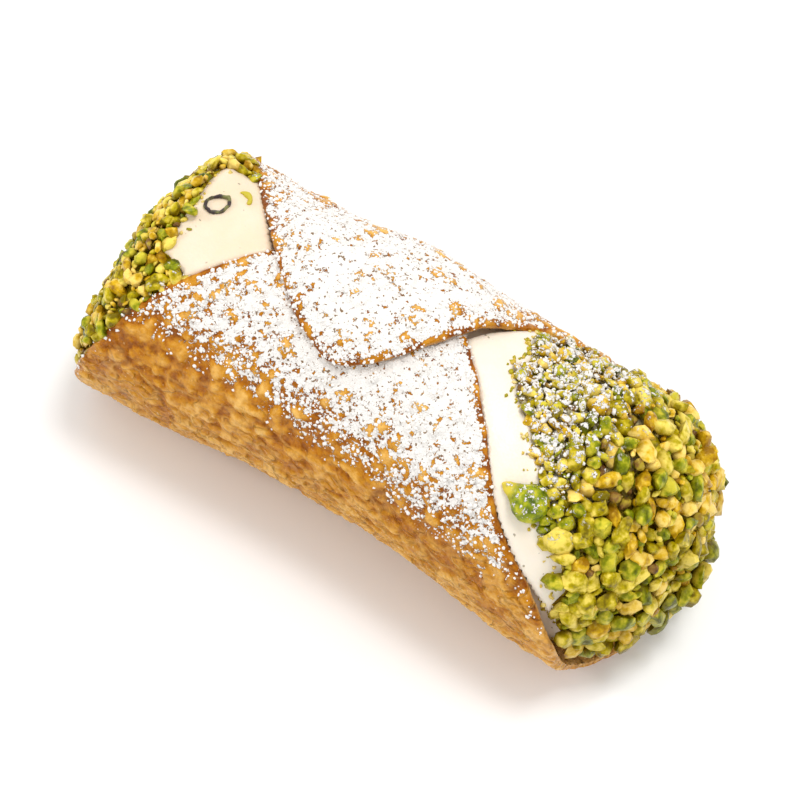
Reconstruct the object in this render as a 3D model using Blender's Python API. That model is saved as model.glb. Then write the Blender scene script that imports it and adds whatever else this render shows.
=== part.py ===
"""A filled cannolo lying on its side: a fried oval of dough rolled into a tube with one flap over the other,
ricotta cream through its whole length, and a coat of chopped pistachios pressed on to each open end.

+X runs along the tube, towards the end with the big nut dome; +Y is the back, +Z is up.
The turn round the tube is measured from its underside: positive turns climb the back, negative the front.
"""

import math
from dataclasses import dataclass

import bmesh
import bpy
from mathutils import Vector

# The rolled dough
TUBE_RADIUS = 0.02025  # outside of the tube, before the waist and the flare
HALF_LENGTH = 0.0470  # from the middle to the tip of the oval
WRAP = math.radians(212.5)  # each flap's turn from the underside to its rounded end
DOUGH = 0.0016  # thickness of the fried sheet
WAIST = 0.0009  # how much slimmer the tube is at mid-length
BOW = 0.0006  # how high the tube arches at mid-length
FLARE_START, FLARE_LENGTH = 0.010, 0.022  # distance from the middle where the ends start to widen, and its run
FLARE_TURN = math.radians(-30.0)  # the side to which they drop
FLOOR = -0.0213  # height of the plate below the tube's axis: both ends are pressed flat against it
OUTER_FLAP = (0.95, 1.62)  # exponents of the outline: along the wrap, across it
INNER_FLAP = (1.40, 1.40)
TIP_ROUNDING = math.radians(12.0)  # how far round the underside the oval's two side tips are rounded
OUTER_SKEW, OUTER_SWING = 0.0085, 0.8  # the outer flap's lean towards -X, and its share of a half-wave
INNER_SKEW, INNER_SWING = 0.0043, math.radians(150.0)  # the inner flap's, and the turn by which it is full
BACK_BULGE, FRONT_BULGE = 0.0095, 0.0036  # how much fuller the oval is at the back and the front, on its +X side
BACK_TURNS, FRONT_TURNS = (0.0, 75.0, 106.0, 143.0), (42.0, 84.0, 95.0, 135.0)  # start, full, fading and over
UNEVEN = 0.00028  # height of the slow waves in the dough
SHORT_WAVE, LONG_WAVE = 0.0052, 0.0081  # their lengths along the tube, over 2 pi
FLAP_GAP = 0.0004  # clear space between the two flaps
FLAP_REACH = 0.32  # how far past the inner flap's outline the outer flap starts to rise

# The cream and the nuts
GAP = 0.0004  # clear space between the cream and the dough
BARE_RADIUS = 0.0193  # cream that shows between the dough's rim and the nuts
NUT_RADIUS = 0.0195  # outside of the nut coat, before its lumps
NUT_DEPTH = 0.0018  # thickness of the coat
NUT_LUMP = 0.0009  # height of its highest lumps
NUT_BED = 0.0025  # how deep the cream lies under the outside of the nuts
NUT_LEDGE = 0.0018  # the cream has dipped to its bed this far before the nuts
DIP_LENGTH = 0.0022  # over this length
RIM_CLEAR = 0.0008  # the filling starts to swell this far past the rim
SWELL_LENGTH = 0.0035  # over this length
STRIP_TURN, STRIP_REACH = math.radians(-165.0), math.radians(100.0)  # where bare cream is widest, and its fade
DOME_POWER = 2.3  # 2 is an ellipsoid, more is squarer


@dataclass
class End:
    """What differs between the two ends of the cannolo."""

    side: int  # -1 at the small end, +1 at the big dome
    flare_even: float  # how far the dough widens all round
    flare_down: float  # and how far it drops towards FLARE_TURN
    dome_start: float  # distance from the middle where the filling starts to close
    dome_depth: float  # how far it bulges past that
    lean: float  # slope of the filling's end, further out at the bottom
    strip: float  # bare cream beside the rim, where it is narrowest
    widest_strip: float  # and at STRIP_TURN
    first_nut: float  # the upper nuts start no nearer the middle than this
    last_nut: float  # and none start further out than this

    @property
    def straight(self):
        """Share of the way from the middle to the pole that comes before the dome."""
        return self.dome_start / (self.dome_start + 0.25 * math.pi * (self.dome_depth + NUT_RADIUS))


LEFT = End(
    side=-1, flare_even=0.00045, flare_down=0.0017, dome_start=0.0385, dome_depth=0.0065, lean=0.22,
    strip=0.0015, widest_strip=0.0030, first_nut=0.0345, last_nut=0.0440,
)
RIGHT = End(
    side=+1, flare_even=0.00035, flare_down=0.0012, dome_start=0.0330, dome_depth=0.0150, lean=0.39,
    strip=0.0015, widest_strip=0.0075, first_nut=0.0190, last_nut=0.0460,
)

# Mesh fineness
DOUGH_ROWS, DOUGH_COLUMNS = 72, 16
SEGMENTS = 36  # round the cream and the nuts
CREAM_RINGS = (5, 3, 2, 6)  # from the middle to the rim, to the dip, to the nuts, to the pole
NUT_RINGS = 10
SEARCH_STEPS = 400

COLOURS = {
    "shell": ((0.58, 0.30, 0.09), 0.55),
    "cream": ((0.88, 0.82, 0.68), 0.45),
    "nuts": ((0.38, 0.42, 0.07), 0.60),
}


def smooth(t):
    """0 up to t = 0, 1 from t = 1, eased in between."""
    t = min(max(t, 0.0), 1.0)
    return t * t * (3.0 - 2.0 * t)


# ---- the dough's outline, as laid round the tube ----


def wrap_share(turn):
    """0 at the underside and 1 at a flap's rounded end, eased near 0 so that the rim has no corner there."""
    return (math.hypot(turn, TIP_ROUNDING) - TIP_ROUNDING) / (math.hypot(WRAP, TIP_ROUNDING) - TIP_ROUNDING)


def bulge(turn):
    """How much further the dough reaches towards +X where it climbs the back and the front."""
    height, turns = (BACK_BULGE, BACK_TURNS) if turn > 0 else (FRONT_BULGE, FRONT_TURNS)
    start, full, fading, over = (math.radians(place) for place in turns)
    return height * smooth((abs(turn) - start) / (full - start)) * smooth((over - abs(turn)) / (over - fading))


def flap_half_width(turn):
    """Half the dough's length along the tube at this turn from the underside."""
    along, across = OUTER_FLAP if turn > 0 else INNER_FLAP
    oval = HALF_LENGTH * (1.0 - min(wrap_share(turn), 1.0) ** along) ** (1.0 / across)
    return oval + 0.5 * bulge(turn)


def flap_middle(turn):
    """The dough leans towards -X as it climbs, and the outer flap's end swings part of the way back."""
    if turn > 0:
        return 0.5 * bulge(turn) - OUTER_SKEW * math.sin(OUTER_SWING * math.pi * turn / WRAP)
    return 0.5 * bulge(turn) - INNER_SKEW * smooth(-turn / INNER_SWING)


def turns_at(turn):
    """Each turn of the dough that passes over this place on the tube: one, or two where the flaps overlap."""
    full = 2.0 * math.pi
    return [t for t in (turn - full, turn, turn + full) if abs(t) <= WRAP]


def rim(turn, side):
    """Where the dough ends along the tube at this place, on that side, counting both flaps."""
    return side * max(side * flap_middle(t) + flap_half_width(t) for t in turns_at(turn))


def over_inner_flap(x, turn):
    """1 where the outer flap lies on the inner one, easing to 0 past the inner flap's outline."""
    beneath = turn - 2.0 * math.pi
    along, across = INNER_FLAP
    off_middle = abs(x - flap_middle(beneath)) / HALF_LENGTH
    return smooth((1.0 + FLAP_REACH - off_middle**across - wrap_share(beneath) ** along) / FLAP_REACH)


# ---- the shape of the tube ----


def unevenness(x, turn):
    """Slow waves in the dough, which close on themselves round the tube."""
    crossing = math.sin(x / SHORT_WAVE + 0.9) * math.cos(2.0 * turn + 0.6)
    winding = math.sin(3.0 * turn + x / LONG_WAVE)
    return UNEVEN * (crossing + 0.7 * winding)


def flare(x, turn):
    """How much the dough widens towards its two ends, mostly underneath."""
    end = RIGHT if x > 0 else LEFT
    share = smooth((abs(x) - FLARE_START) / FLARE_LENGTH)
    return share * (end.flare_even + end.flare_down * math.cos(turn - FLARE_TURN))


def tube_radius(x, turn):
    """Outside of a single layer of dough before the waist and the bow."""
    return TUBE_RADIUS + unevenness(x, turn) + flare(x, turn)


def dough_radius(x, turn):
    """Outside of the dough, raised where the outer flap lies on the inner one."""
    lift = over_inner_flap(x, turn) * (DOUGH + FLAP_GAP) if turn > 0 else 0.0
    return tube_radius(x, turn) + lift


def place(x, turn, radius, clearance=0.0):
    """A point of the tube: slimmed and raised at mid-length, and pressed flat underneath."""
    sag = max(1.0 - (x / HALF_LENGTH) ** 2, 0.0) ** 2
    slim = radius * (1.0 - WAIST / TUBE_RADIUS * sag)
    height = BOW * sag - slim * math.cos(turn)
    return Vector((x, slim * math.sin(turn), max(height, FLOOR + clearance)))


# ---- the filling ----


def filling_x(end, share, turn, sunk=0.0):
    """Place along the tube, and share of the radius, of a point of the filling at this share of the way from the
    middle to the pole, with the dome sunk by this much."""
    along, narrowing = end.dome_start * share / end.straight, 1.0
    if share > end.straight:
        angle = 0.5 * math.pi * min((share - end.straight) / (1.0 - end.straight), 1.0)
        along = end.dome_start + (end.dome_depth - sunk) * math.sin(angle) ** (2.0 / DOME_POWER)
        narrowing = max(math.cos(angle), 0.0) ** (2.0 / DOME_POWER)
    lean = end.lean * smooth(along / end.dome_start)
    return end.side * (along + lean * NUT_RADIUS * narrowing * math.cos(turn)), narrowing


def share_where(end, turn, distance, sunk=0.0):
    """The share of the way to the pole at which the filling is this far along the tube."""
    for step in range(SEARCH_STEPS):
        x, _ = filling_x(end, step / SEARCH_STEPS, turn, sunk)
        if end.side * x >= distance:
            return step / SEARCH_STEPS
    return end.straight


def nut_border(end, turn):
    """How far along the tube the nuts begin: past the rim by a bare strip that is widest near the crest."""
    widening = smooth(1.0 - abs(math.remainder(turn - STRIP_TURN, 2.0 * math.pi)) / STRIP_REACH)
    edge = end.side * rim(turn, end.side) + end.strip + (end.widest_strip - end.strip) * widening
    nearest = end.first_nut if math.cos(turn) < 0 else 0.0
    return min(max(edge, nearest), end.last_nut)


def swell(end, x, turn, radius):
    """The filling is as wide as the dough's inside, and eases to this radius once it is clear of the rim."""
    inside = tube_radius(x, turn) - DOUGH - GAP
    past_rim = end.side * (x - rim(turn, end.side)) - RIM_CLEAR
    return inside + (radius - inside) * smooth(past_rim / SWELL_LENGTH)


def nut_point(end, share, turn, lump):
    """A point of the nut coat's outside, raised by this lump."""
    x, narrowing = filling_x(end, share, turn, -lump)
    return place(x, turn, (swell(end, x, turn, NUT_RADIUS) + lump) * narrowing, DOUGH + GAP)


def cream_point(end, share, turn):
    """A point of the cream, which shows bare beside the rim and dips under the nuts."""
    x, narrowing = filling_x(end, share, turn, NUT_BED)
    dip = smooth((end.side * x - nut_border(end, turn) + NUT_LEDGE) / DIP_LENGTH + 1.0)
    bare, under = (swell(end, x, turn, radius) for radius in (BARE_RADIUS, NUT_RADIUS))
    radius = bare + (under - NUT_BED - bare) * dip
    return place(x, turn, radius * narrowing, DOUGH + GAP + NUT_BED * dip)


def lumps(share, turn):
    """Uneven outline of the nut coat."""
    coarse = math.sin(7.0 * turn + 9.0 * share) * math.sin(23.0 * share + 1.0)
    fine = math.sin(4.0 * turn - 17.0 * share)
    return NUT_LUMP * (0.5 + 0.3 * coarse + 0.2 * fine)


# ---- meshes ----


def ring_mesh(rings, first_pole, last_pole):
    """A surface of closed rings, with a single point before the first and after the last where given."""
    mesh = bmesh.new()
    loops = [[mesh.verts.new(point) for point in ring] for ring in rings]
    for lower, upper in zip(loops, loops[1:]):
        for k in range(len(lower)):
            following = (k + 1) % len(lower)
            mesh.faces.new((lower[k], lower[following], upper[following], upper[k]))
    for pole, loop in ((first_pole, loops[0]), (last_pole, loops[-1])):
        if pole is not None:
            tip = mesh.verts.new(pole)
            for k in range(len(loop)):
                mesh.faces.new((tip, loop[k], loop[(k + 1) % len(loop)]))
    bmesh.ops.recalc_face_normals(mesh, faces=mesh.faces)
    return mesh


def sheet_mesh(rows, first_tip, last_tip):
    """An open sheet of rows of equal length that closes to a point before its first row and after its last."""
    mesh = bmesh.new()
    lines = [[mesh.verts.new(point) for point in row] for row in rows]
    for lower, upper in zip(lines, lines[1:]):
        for k in range(len(lower) - 1):
            mesh.faces.new((lower[k], lower[k + 1], upper[k + 1], upper[k]))
    for tip_point, line in ((first_tip, lines[0]), (last_tip, lines[-1])):
        tip = mesh.verts.new(tip_point)
        for k in range(len(line) - 1):
            mesh.faces.new((tip, line[k], line[k + 1]))
    bmesh.ops.recalc_face_normals(mesh, faces=mesh.faces)
    return mesh


def face_outwards(mesh):
    """Turns an open surface so that its normals leave the tube's axis."""
    away = 0.0
    for face in mesh.faces:
        middle = face.calc_center_median()
        away += face.calc_area() * face.normal.dot(Vector((0.0, middle.y, middle.z)))
    if away < 0:
        bmesh.ops.reverse_faces(mesh, faces=mesh.faces)


def add_object(name, mesh, finish):
    """Makes the named object from a bmesh, shaded smooth, with its own material."""
    data = bpy.data.meshes.new(name)
    mesh.to_mesh(data)
    mesh.free()
    data.shade_smooth()
    colour, roughness = COLOURS[finish]
    material = bpy.data.materials.new(name)
    material.use_nodes = True
    shader = material.node_tree.nodes["Principled BSDF"]
    shader.inputs["Base Color"].default_value = (*colour, 1.0)
    shader.inputs["Roughness"].default_value = roughness
    shader.inputs["Metallic"].default_value = 0.0
    data.materials.append(material)
    part = bpy.data.objects.new(name, data)
    bpy.context.scene.collection.objects.link(part)
    return part


def give_thickness(part, thickness):
    """Thickens a sheet inwards from its outer face."""
    solidify = part.modifiers.new("thickness", "SOLIDIFY")
    solidify.thickness = thickness
    solidify.offset = -1.0
    solidify.use_rim = True


# ---- the pieces ----


def build_shell():
    """The fried dough: one oval sheet, rolled so that its outer flap lies over its inner one."""
    rows = []
    for row in range(1, DOUGH_ROWS):
        turn = WRAP * math.sin(math.pi * (row / DOUGH_ROWS - 0.5))
        half, middle = flap_half_width(turn), flap_middle(turn)
        across = [middle + half * (2.0 * column / DOUGH_COLUMNS - 1.0) for column in range(DOUGH_COLUMNS + 1)]
        rows.append([place(x, turn, dough_radius(x, turn)) for x in across])
    tips = [place(flap_middle(t), t, dough_radius(flap_middle(t), t)) for t in (-WRAP, WRAP)]
    mesh = sheet_mesh(rows, *tips)
    face_outwards(mesh)
    give_thickness(add_object("shell", mesh, "shell"), DOUGH)


def cream_shares(end, turn):
    """Shares of the way to the pole for the cream's rings, gathered where it swells past the rim and where it
    dips under the nuts."""
    border = nut_border(end, turn) - NUT_LEDGE
    swelling = max(end.side * rim(turn, end.side) + RIM_CLEAR, 0.0)
    swelling = min(swelling, border - 2.0 * DIP_LENGTH)
    stops = [0.0] + [share_where(end, turn, x, NUT_BED) for x in (swelling, border - DIP_LENGTH, border)] + [1.0]
    shares = []
    for start, finish, count in zip(stops, stops[1:], CREAM_RINGS):
        shares += [start + (finish - start) * k / count for k in range(count)]
    return shares


def build_cream():
    """The ricotta cream: one body right through the tube, domed at both ends."""
    turns = [2.0 * math.pi * k / SEGMENTS - math.pi for k in range(SEGMENTS)]
    halves = []
    for end in (LEFT, RIGHT):
        columns = [[cream_point(end, share, turn) for share in cream_shares(end, turn)] for turn in turns]
        halves.append(list(zip(*columns)))
    left, right = halves
    poles = [cream_point(end, 1.0, 0.0) for end in (LEFT, RIGHT)]
    add_object("cream", ring_mesh(left[:0:-1] + right, *poles), "cream")


def build_nuts(name, end):
    """The pistachios pressed on one end: a lumpy bowl over the cream, level at its border."""
    turns = [2.0 * math.pi * k / SEGMENTS - math.pi for k in range(SEGMENTS)]
    borders = [share_where(end, t, nut_border(end, t)) for t in turns]
    rings = []
    for ring in range(NUT_RINGS):
        way = ring / NUT_RINGS
        risen = smooth(4.0 * way)
        shares = [border + (1.0 - border) * way for border in borders]
        rings.append([nut_point(end, s, t, risen * lumps(s, t)) for s, t in zip(shares, turns)])
    mesh = ring_mesh(rings, None, nut_point(end, 1.0, 0.0, 0.5 * NUT_LUMP))
    face_outwards(mesh)
    give_thickness(add_object(name, mesh, "nuts"), NUT_DEPTH)


def stand_on_origin():
    """Moves the finished pieces so that the middle of their box's base is the origin."""
    bpy.context.view_layer.update()
    depsgraph = bpy.context.evaluated_depsgraph_get()
    parts = list(bpy.context.scene.objects)
    points = [vertex.co.copy() for part in parts for vertex in part.evaluated_get(depsgraph).data.vertices]
    low = Vector([min(p[k] for p in points) for k in range(3)])
    high = Vector([max(p[k] for p in points) for k in range(3)])
    for part in parts:
        part.location = -Vector(((low.x + high.x) / 2.0, (low.y + high.y) / 2.0, low.z))


for leftover in list(bpy.data.objects):
    bpy.data.objects.remove(leftover)
build_shell()
build_cream()
build_nuts("nut_coat_left", LEFT)
build_nuts("nut_coat_right", RIGHT)
stand_on_origin()
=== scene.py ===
"""A filled cannolo: blistered fried dough, ricotta cream, chopped pistachios and icing sugar."""

import math

import bpy
import numpy as np
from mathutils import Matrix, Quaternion, Vector, noise


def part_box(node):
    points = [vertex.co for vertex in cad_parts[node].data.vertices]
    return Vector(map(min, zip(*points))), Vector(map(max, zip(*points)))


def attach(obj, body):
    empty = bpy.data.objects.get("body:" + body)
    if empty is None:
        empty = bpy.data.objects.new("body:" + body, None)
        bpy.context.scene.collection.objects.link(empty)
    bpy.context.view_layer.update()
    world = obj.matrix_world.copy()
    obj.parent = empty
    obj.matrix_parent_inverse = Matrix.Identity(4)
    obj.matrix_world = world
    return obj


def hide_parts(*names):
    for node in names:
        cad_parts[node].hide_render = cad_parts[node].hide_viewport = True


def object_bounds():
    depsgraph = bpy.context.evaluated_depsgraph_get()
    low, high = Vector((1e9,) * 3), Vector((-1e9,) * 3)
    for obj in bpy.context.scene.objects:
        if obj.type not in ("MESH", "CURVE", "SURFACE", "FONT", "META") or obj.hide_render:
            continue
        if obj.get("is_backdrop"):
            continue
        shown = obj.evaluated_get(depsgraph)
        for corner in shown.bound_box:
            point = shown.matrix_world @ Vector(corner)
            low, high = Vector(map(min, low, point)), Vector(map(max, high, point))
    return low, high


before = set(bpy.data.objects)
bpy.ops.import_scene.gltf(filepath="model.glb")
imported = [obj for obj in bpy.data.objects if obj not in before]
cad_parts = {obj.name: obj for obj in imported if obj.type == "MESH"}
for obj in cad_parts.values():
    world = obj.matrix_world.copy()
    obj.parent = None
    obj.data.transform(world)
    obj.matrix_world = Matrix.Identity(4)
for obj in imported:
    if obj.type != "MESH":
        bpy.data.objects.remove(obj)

cad_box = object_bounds()


# ---- Fried dough shell ---------------------------------------------------------------------------------
# A thin oval of dough is wrapped round a metal tube, one flap lapped over the other, and deep-fried. It sets
# hard and golden, blistered all over, with a browner rim and ends that flare a little.

TUBE_RADIUS = 0.02025
HALF_LENGTH = 0.0470
WRAP = math.radians(212.5)
DOUGH = 0.0016
WAIST, BOW = 0.0009, 0.0006
FLARE_START, FLARE_LENGTH, FLARE_TURN = 0.010, 0.022, math.radians(-30.0)
FLARE_EVEN = (0.00045, 0.00035)
FLARE_DOWN = (0.0017, 0.0012)
FLOOR = -0.0213
CORNER = math.radians(12.0)
FLAP_TAPER, FLAP_FULLNESS, FLAP_SWING = 0.95, 1.62, 0.0085
INNER_OVAL, INNER_LEAN, INNER_LEAN_OVER = 1.40, 0.0043, math.radians(150.0)
BULGES = (  # fuller places on the +X side: way round, height, and where it starts, is full, fades and is over
    (1.0, 0.0095, (0.0, 75.0, 106.0, 143.0)),
    (-1.0, 0.0036, (42.0, 84.0, 95.0, 135.0)),
)
FLAP_GAP, FLAP_REACH, FLAP_LIFT = 0.0004, 0.32, 0.0006
SLOW_WAVE = 0.00028
ROWS, COLUMNS = 410, 210
RIM_ROUND, RIM_THIN, RIM_WOBBLE = 0.0004, 0.0007, 0.00035


def smooth(t):
    """An even rise from 0 to 1 that starts and ends gently."""
    t = np.clip(t, 0.0, 1.0)
    return t * t * (3.0 - 2.0 * t)


def wrap_share(turn):
    """Share of the way from the underside to the tip of a flap, rounded off where it starts."""
    return (np.hypot(turn, CORNER) - CORNER) / (np.hypot(WRAP, CORNER) - CORNER)


def outline(turn):
    """Middle and half-width of the oval at this turn from the underside; the outer flap climbs the back."""
    outer = turn > 0
    share = np.minimum(wrap_share(turn), 1.0) ** np.where(outer, FLAP_TAPER, INNER_OVAL)
    half = HALF_LENGTH * (1.0 - share) ** np.where(outer, 1.0 / FLAP_FULLNESS, 1.0 / INNER_OVAL)
    swung = -FLAP_SWING * np.sin(0.8 * math.pi * turn / WRAP)
    leaning = -INNER_LEAN * smooth(-turn / INNER_LEAN_OVER)
    fuller = 0.0
    for way, height, places in BULGES:
        start, full, fading, over = np.radians(places)
        fuller = fuller + height * smooth((way * turn - start) / (full - start)) * \
            smooth((over - way * turn) / (over - fading))
    return np.where(outer, swung, leaning) + 0.5 * fuller, half + 0.5 * fuller


def rim(turn, side):
    """How far the dough reaches at this place round the tube, on that side, counting both flaps."""
    reach = np.full(np.shape(turn), -1.0)
    for lap in (-2.0 * math.pi, 0.0, 2.0 * math.pi):
        middle, half = outline(turn + lap)
        reach = np.where(np.abs(turn + lap) <= WRAP, np.maximum(reach, side * middle + half), reach)
    return side * reach


def rim_distance(x, turn):
    """Distance across the dough to its nearest edge."""
    step = 0.002
    middle, half = outline(turn)
    ahead_middle, ahead_half = outline(np.clip(turn + step, -WRAP, WRAP))
    behind_middle, behind_half = outline(np.clip(turn - step, -WRAP, WRAP))
    distance = np.full(np.shape(x), 1.0)
    for side in (-1.0, 1.0):
        climb = ahead_middle + side * ahead_half - behind_middle - side * behind_half
        slope = climb / (2.0 * step * TUBE_RADIUS)
        distance = np.minimum(distance, (half - side * (x - middle)) / np.hypot(1.0, slope))
    return distance


def tube_radius(x, turn):
    """Outside of one layer of dough, with its slow waves and its flared ends."""
    crossing = np.sin(x / 0.0052 + 0.9) * np.cos(2.0 * turn + 0.6)
    winding = np.sin(3.0 * turn + x / 0.0081)
    share = smooth((np.abs(x) - FLARE_START) / FLARE_LENGTH)
    even = np.where(x > 0, FLARE_EVEN[1], FLARE_EVEN[0])
    down = np.where(x > 0, FLARE_DOWN[1], FLARE_DOWN[0])
    flare = share * (even + down * np.cos(turn - FLARE_TURN))
    return TUBE_RADIUS + SLOW_WAVE * (crossing + 0.7 * winding) + flare


def outer_lift(x, turn):
    """How far the outer flap rides up over the inner one."""
    beneath = turn - 2.0 * math.pi
    off_middle = np.abs(x - outline(beneath)[0]) / HALF_LENGTH
    climbed = wrap_share(beneath) ** INNER_OVAL
    over = smooth((1.0 + FLAP_REACH - off_middle**INNER_OVAL - climbed) / FLAP_REACH)
    return np.where(turn > 0, over * (DOUGH + FLAP_GAP), 0.0)


def place(x, turn, radius, clearance=0.0):
    """A point of the tube in its own frame: slimmed and raised at mid-length, pressed flat underneath."""
    sag = np.maximum(1.0 - (x / HALF_LENGTH) ** 2, 0.0) ** 2
    slim = radius * (1.0 - WAIST / TUBE_RADIUS * sag)
    height = np.maximum(BOW * sag - slim * np.cos(turn), FLOOR + clearance)
    return np.stack([x, slim * np.sin(turn), height], axis=-1)


def read_points(piece):
    """The piece's points, one to a row."""
    flat = np.empty(3 * len(piece.data.vertices))
    piece.data.vertices.foreach_get("co", flat)
    return flat.reshape(-1, 3)


def write_points(piece, points):
    piece.data.vertices.foreach_set("co", np.ascontiguousarray(points, dtype=np.float64).ravel())
    piece.data.update()


def read_layer(piece, name):
    values = np.empty(len(piece.data.vertices))
    piece.data.attributes[name].data.foreach_get("value", values)
    return values


def write_layer(piece, name, values):
    layers = piece.data.attributes
    layer = layers[name] if name in layers else layers.new(name, "FLOAT", "POINT")
    layer.data.foreach_set("value", np.ascontiguousarray(values, dtype=np.float64))


def wander(points, size, octaves=3, seed=0.0):
    """Smooth noise from about -1 to 1 at each point, with features of this size."""
    shift = Vector((seed, 1.7 * seed, -0.6 * seed))
    return np.array([noise.fractal(Vector(p) / size + shift, 1.0, 2.0, octaves) for p in points])


def close_up(gap=1e-6):
    """Closes the poles and seams of the piece in hand and makes its faces agree."""
    bpy.ops.object.mode_set(mode="EDIT")
    bpy.ops.mesh.select_all(action="SELECT")
    bpy.ops.mesh.remove_doubles(threshold=gap)
    bpy.ops.mesh.normals_make_consistent(inside=False)
    bpy.ops.object.mode_set(mode="OBJECT")


def turn_over():
    """Turns the faces of the piece in hand the other way."""
    bpy.ops.object.mode_set(mode="EDIT")
    bpy.ops.mesh.select_all(action="SELECT")
    bpy.ops.mesh.flip_normals()
    bpy.ops.object.mode_set(mode="OBJECT")


def thicken(piece, thickness):
    """Gives an open sheet its thickness, inwards."""
    wall = piece.modifiers.new("wall", "SOLIDIFY")
    wall.thickness = thickness
    wall.offset = -1.0
    bpy.ops.object.modifier_apply(modifier="wall")


bpy.ops.object.select_all(action="DESELECT")
bpy.ops.mesh.primitive_grid_add(x_subdivisions=COLUMNS, y_subdivisions=ROWS, size=2.0)
shell = bpy.context.object
shell.name = "dough_shell"
square = read_points(shell)
across = 0.65 * square[:, 0] + 0.35 * np.sin(0.5 * math.pi * square[:, 0])
shell_turn = WRAP * (0.5 * square[:, 1] + 0.5 * np.sin(0.5 * math.pi * square[:, 1]))
middle, half = outline(shell_turn)
shell_x = middle + half * across
bare = place(shell_x, shell_turn, tube_radius(shell_x, shell_turn) + outer_lift(shell_x, shell_turn))

# The tube's axis: the shell's box gives its place along and across, and the plate gives its height.
low, high = (np.array(corner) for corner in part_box("shell"))
axis_point = 0.5 * (low + high) - 0.5 * (bare.min(axis=0) + bare.max(axis=0))
axis_point[2] = low[2] - FLOOR

write_points(shell, bare + axis_point)
write_layer(shell, "along", shell_x)
write_layer(shell, "turn", shell_turn)
close_up()
faces = list(shell.data.polygons)[::97]
outward = [Vector((0.0, face.center.y - axis_point[1], face.center.z - axis_point[2])) for face in faces]
if sum(face.normal.dot(away) for face, away in zip(faces, outward)) < 0:
    turn_over()
outer_count = len(shell.data.vertices)
thicken(shell, DOUGH)

# Blisters: caps raised by hot steam, crowded and overlapping, each with its own size, height and stretch. Low
# down some have sunk in the middle to plates with a raised edge.
BLISTERS, SMALLEST_BLISTER, BLISTER_SPREAD, BLISTER_RISE = 4800, 0.0005, 0.0010, (0.22, 0.50)
PLATES, PLATE_SIZE, PLATE_RISE = 1500, (0.0012, 0.0026), (0.16, 0.30)
FULL_BLISTER = 0.0005
SHEET_WOBBLE, OVERLAP = 0.0006, 0.12

points = read_points(shell)
shell_x, shell_turn = read_layer(shell, "along"), read_layer(shell, "turn")
outer, inner = slice(0, outer_count), slice(outer_count, len(points))
x, turn, skin = shell_x[outer], shell_turn[outer], points[outer]
from_rim = np.maximum(rim_distance(shell_x, shell_turn), 0.0)
covering_rim = rim_distance(x, np.minimum(turn + 2.0 * math.pi, WRAP))
hidden = np.where((turn < 0) & (turn + 2.0 * math.pi < WRAP), smooth(covering_rim / 0.0015), 0.0)
sheet_x = x + SHEET_WOBBLE * wander(skin, 0.0020, 2, 3.0)
sheet_s = TUBE_RADIUS * turn + SHEET_WOBBLE * wander(skin, 0.0020, 2, 9.0)
picks = np.random.default_rng(11)
blister = np.zeros(outer_count)
for number in range(BLISTERS + PLATES):
    at_x = picks.uniform(-HALF_LENGTH, HALF_LENGTH)
    at_s = picks.uniform(-WRAP, WRAP) * TUBE_RADIUS
    low_down = smooth(0.62 + 1.1 * math.cos(at_s / TUBE_RADIUS))
    plate = number >= BLISTERS
    if plate and picks.random() > low_down:
        continue
    if plate:
        size = picks.uniform(*PLATE_SIZE)
        height = size * picks.uniform(*PLATE_RISE)
    else:
        size = SMALLEST_BLISTER + BLISTER_SPREAD * picks.random() ** 1.6
        height = size * (picks.uniform(*BLISTER_RISE) * (1.0 - 0.35 * low_down))
    stretch = picks.uniform(0.8, 1.25) + (0.45 * picks.random() if plate else 0.0)
    slant = picks.normal(0.0, 0.5)
    near = np.flatnonzero((np.abs(sheet_x - at_x) < 2.6 * size) & (np.abs(sheet_s - at_s) < 2.6 * size))
    right, up = sheet_x[near] - at_x, sheet_s[near] - at_s
    along = (right * math.cos(slant) + up * math.sin(slant)) / (size * stretch)
    athwart = (up * math.cos(slant) - right * math.sin(slant)) * stretch / size
    off_centre = along**2 + athwart**2
    cap = height * np.maximum(1.0 - off_centre, 0.0) ** 0.55
    if plate:
        cap = height * np.clip((1.0 - off_centre) / 0.30, 0.0, 1.0) ** 0.7 * (0.45 + 0.55 * off_centre)
    blister[near] = np.maximum(blister[near], cap) + (0.0 if plate else OVERLAP * cap)
crackle = wander(skin, 0.0010, 3, 5.0)

# Icing sugar: thick on top, thinning down both sides, and thinner on the highest blisters and along the rims.
SUGAR_FROM, SUGAR_SLANT, SUGAR_FROM_BEHIND, SUGAR_FADE = 0.13, 0.22, 0.16, 0.88
SUGAR_DEPTH, DRIFTS, BALD = 0.00020, 0.26, 0.55
BARE_RIM, THIN_RIM = 0.0013, 0.0065

upward = -np.cos(turn)
sheltered = np.where(turn < 0, SUGAR_FROM - SUGAR_SLANT * x / HALF_LENGTH, SUGAR_FROM_BEHIND)
coverage = smooth((upward - sheltered) / SUGAR_FADE)
drifts = DRIFTS * wander(skin, 0.0032, 3, 1.0)
near_rim = np.where(turn < 0, 1.00, 0.60) * smooth(1.0 - from_rim[outer] / BARE_RIM)
near_rim += np.where(turn < 0, 0.10, 0.30) * smooth(1.0 - from_rim[outer] / THIN_RIM)
bald = BALD * np.clip(blister / FULL_BLISTER - 0.40, 0.0, 1.0) + near_rim
sugar = coverage * 1.01 + drifts * smooth(coverage * 4.0) - bald
sugar = np.clip(sugar, 0.0, 1.0) * smooth((coverage - 0.05) / 0.15)

# Low down the skin has drawn into thin welts. The rims are thinner and rounded off, and one corner lifts.
WELT_HEIGHT, CRACKLE_HEIGHT = 0.00034, 0.00008

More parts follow.
